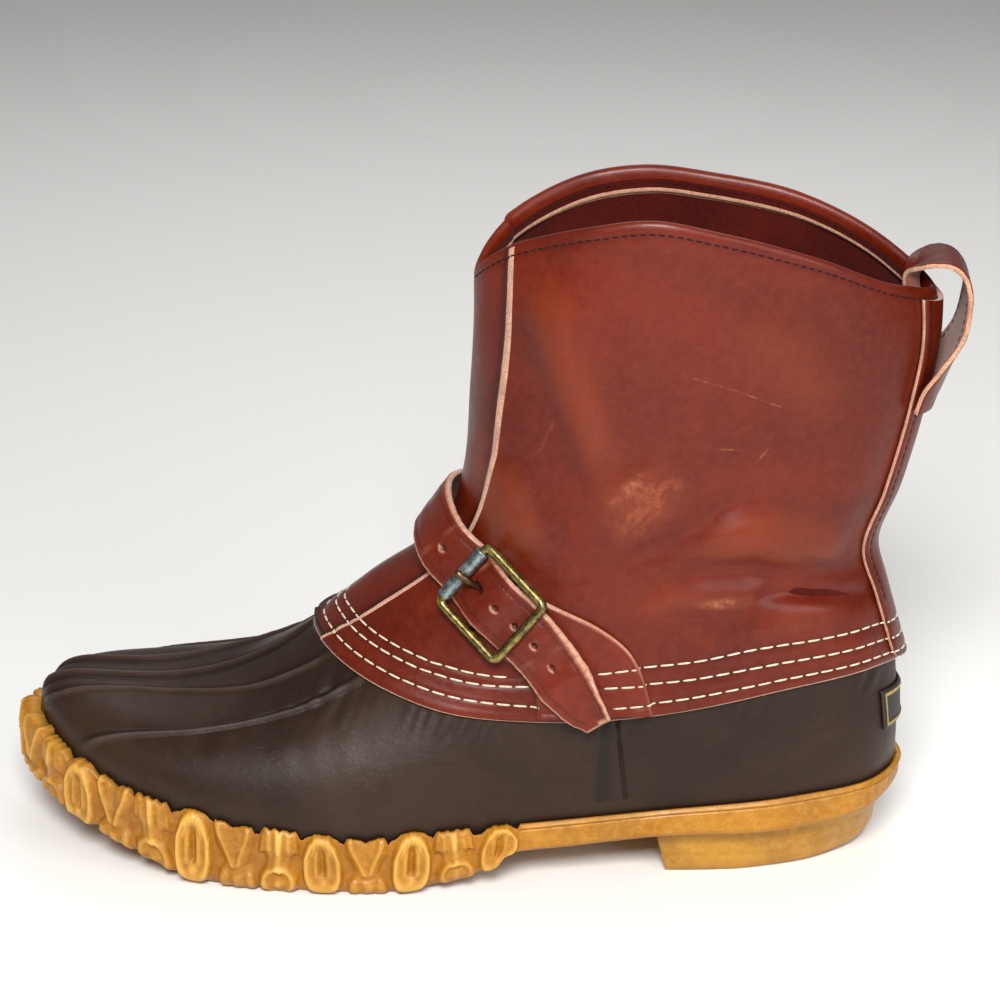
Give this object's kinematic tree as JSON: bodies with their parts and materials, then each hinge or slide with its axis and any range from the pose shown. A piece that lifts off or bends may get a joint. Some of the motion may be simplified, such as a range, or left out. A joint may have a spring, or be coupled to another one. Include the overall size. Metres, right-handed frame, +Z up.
{
  "type": "duck boot",
  "caption": "Left pull-on boot with a rubber foot shell, leather shaft, lugged rubber sole, low heel and a buckled strap over the instep.",
  "frame": {"origin": "middle of the box around the whole boot, on the plane it stands on", "axes": "+X to the toe, +Y to the left, which is the outer side, +Z up the shaft"},
  "size_m": [0.323, 0.1084, 0.2296],
  "materials": {
    "leather": "smooth reddish brown oiled leather",
    "strap_leather": "reddish brown strap leather with pale cut edges",
    "dark_rubber": "satin dark brown rubber",
    "amber_rubber": "amber lugged rubber",
    "heel_rubber": "lighter amber heel rubber",
    "insole": "brown insole pad",
    "label": "bare dark patch",
    "brass": "old brass",
    "roller": "dull grey metal"
  },
  "bodies": {
    "root": {"upper": "leather", "back_stay": "leather", "pull_loop": "leather", "strap": "strap_leather", "strap_anchor": "strap_leather", "rubber_shell": "dark_rubber", "outsole": "amber_rubber", "heel": "heel_rubber", "insole": "insole", "heel_label": "label", "buckle_frame": "brass", "buckle_prong": "brass", "buckle_roller": "roller"}
  },
  "joints": []
}
